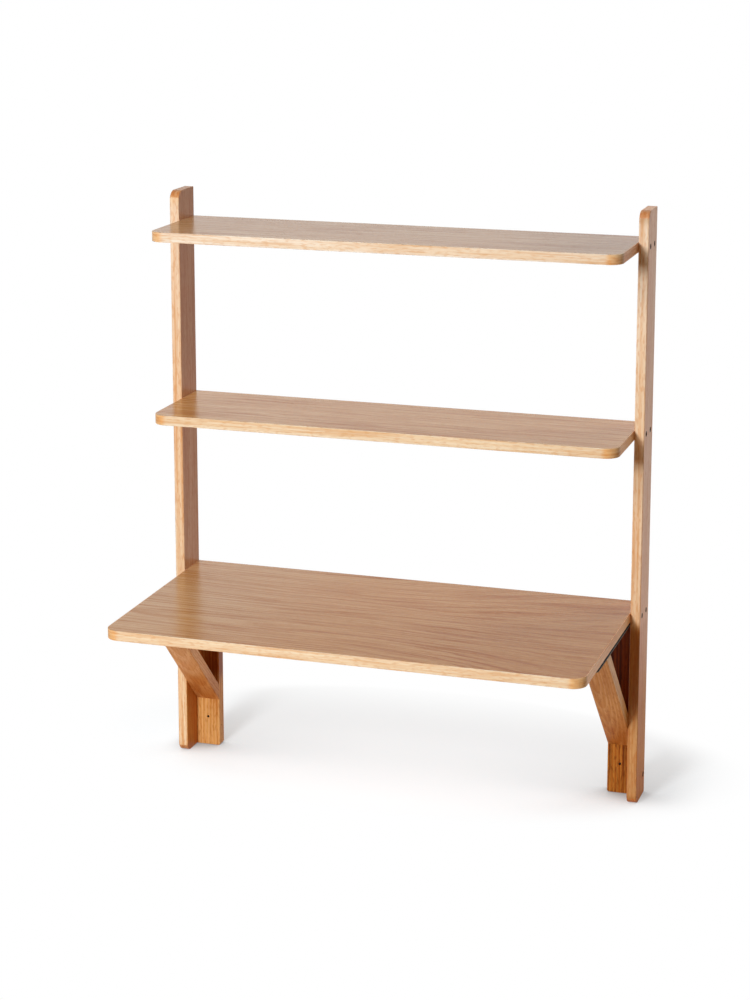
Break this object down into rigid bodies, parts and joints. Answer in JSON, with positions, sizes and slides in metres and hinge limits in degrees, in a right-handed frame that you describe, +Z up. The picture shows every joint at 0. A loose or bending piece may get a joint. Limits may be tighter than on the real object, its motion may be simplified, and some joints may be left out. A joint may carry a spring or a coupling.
{
  "type": "wall desk",
  "caption": "Wall-hung desk with two shelves above it, boards held between two uprights, on two braced brackets screwed to the wall.",
  "frame": {"origin": "on the wall plane, midway between the two wall-screw holes in the cleats", "axes": "+X to the right as seen from the room, +Y into the wall, +Z up"},
  "size_m": [0.9, 0.45, 1.095],
  "materials": {
    "oak_upright": "satin lacquered oak, grain upright",
    "oak_board": "satin lacquered oak veneer, grain along the width",
    "oak_edging": "satin lacquered oak strip, grain along the strip",
    "oak_lath": "satin lacquered solid oak, grain along the lath",
    "black_steel": "fine black powder coat, satin",
    "black_screw": "black oxide",
    "zinc_steel": "bright zinc plate"
  },
  "bodies": {
    "root": {"left_upright": "oak_upright", "left_cleat": "oak_lath", "left_brace": "oak_lath", "left_support_bar": "black_steel", "left_hanger_plate": "zinc_steel", "right_upright": "oak_upright", "right_cleat": "oak_lath", "right_brace": "oak_lath", "right_support_bar": "black_steel", "right_hanger_plate": "zinc_steel", "top_shelf": "oak_board", "top_shelf_edging": "oak_edging", "top_shelf_screws": "black_screw", "middle_shelf": "oak_board", "middle_shelf_edging": "oak_edging", "middle_shelf_screws": "black_screw", "desk_top": "oak_board", "desk_top_edging": "oak_edging", "desk_top_screws": "black_screw", "cleat_screws": "black_screw", "brace_foot_screws": "zinc_steel", "brace_head_screws": "zinc_steel", "bar_rear_screws": "zinc_steel", "bar_desk_screws": "zinc_steel", "hanger_plate_screws": "zinc_steel"}
  },
  "joints": []
}
